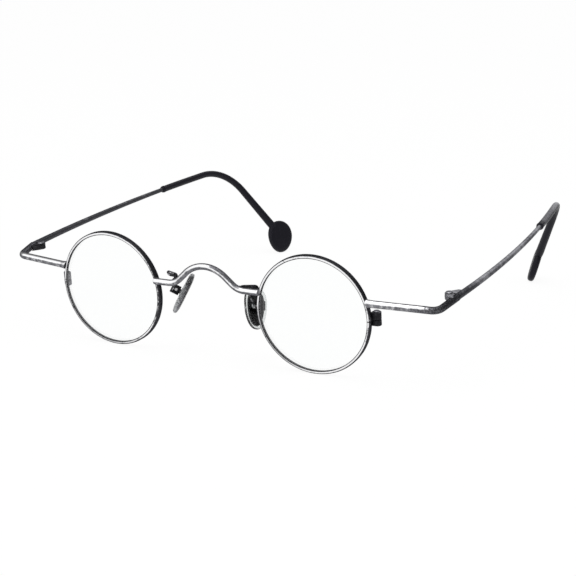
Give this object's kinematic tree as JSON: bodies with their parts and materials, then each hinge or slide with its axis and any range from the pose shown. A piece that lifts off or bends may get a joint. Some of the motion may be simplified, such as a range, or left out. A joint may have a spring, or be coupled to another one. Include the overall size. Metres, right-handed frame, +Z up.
{
  "type": "round eyeglasses",
  "caption": "Round wire eyeglasses with clear lenses, a bent wire bridge, nose pads on wire arms and folding temples that hook behind the ears and end in flat paddles.",
  "frame": {"origin": "on the table, midway between the sides and midway from front to back, with the temples open", "axes": "+X towards the wearer's left, +Y towards the back of the head, +Z up"},
  "size_m": [0.1426, 0.1375, 0.0341],
  "materials": {
    "rim_metal": "satin, bright on the edges and dark with age on the flanks",
    "lens": "clear, polished",
    "worn_metal": "bright on top with dark speckled oxidation below",
    "hinge_metal": "dark, aged",
    "screw_metal": "dull",
    "arm_metal": "dull, aged",
    "insert_metal": "dull",
    "pad_silicone": "translucent, smooth",
    "tip_plastic": "near black with a soft sheen",
    "temple_metal": "dark gunmetal, aged"
  },
  "bodies": {
    "front": {"right_rim": "rim_metal", "left_rim": "rim_metal", "right_lens": "lens", "left_lens": "lens", "bridge": "worn_metal", "right_end_piece": "worn_metal", "left_end_piece": "worn_metal", "right_hinge_front": "hinge_metal", "left_hinge_front": "hinge_metal", "right_closing_block_upper": "hinge_metal", "left_closing_block_upper": "hinge_metal", "right_closing_block_lower": "hinge_metal", "left_closing_block_lower": "hinge_metal", "right_closing_screw": "screw_metal", "left_closing_screw": "screw_metal", "right_pad_arm": "arm_metal", "left_pad_arm": "arm_metal", "right_pad_box": "arm_metal", "left_pad_box": "arm_metal", "right_pad_screw": "screw_metal", "left_pad_screw": "screw_metal"},
    "right_pad": {"right_pad_insert": "insert_metal", "right_nose_pad": "pad_silicone"},
    "left_pad": {"left_pad_insert": "insert_metal", "left_nose_pad": "pad_silicone"},
    "right_temple_arm": {"right_temple_hinge": "hinge_metal", "right_hinge_screw": "screw_metal", "right_temple": "temple_metal", "right_temple_tip": "tip_plastic"},
    "left_temple_arm": {"left_temple_hinge": "hinge_metal", "left_hinge_screw": "screw_metal", "left_temple": "temple_metal", "left_temple_tip": "tip_plastic"}
  },
  "joints": [
    {"name": "left_temple_fold", "type": "hinge", "parent": "front", "child": "left_temple_arm", "pos_m": [0.06745, -0.05271, 0.02362], "axis": [0, -0.0961, 0.9954], "range_deg": [0, 84]},
    {"name": "right_temple_fold", "type": "hinge", "parent": "front", "child": "right_temple_arm", "pos_m": [-0.06745, -0.05271, 0.02362], "axis": [0, 0.0961, -0.9954], "range_deg": [0, 78]},
    {"name": "left_pad_rock", "type": "hinge", "parent": "front", "child": "left_pad", "pos_m": [0.01378, -0.06045, 0.01617], "axis": [0.5299, 0.8019, -0.2761], "range_deg": [-6, 6]},
    {"name": "right_pad_rock", "type": "hinge", "parent": "front", "child": "right_pad", "pos_m": [-0.01398, -0.06061, 0.01777], "axis": [-0.5299, 0.8019, -0.2761], "range_deg": [-6, 6]}
  ]
}
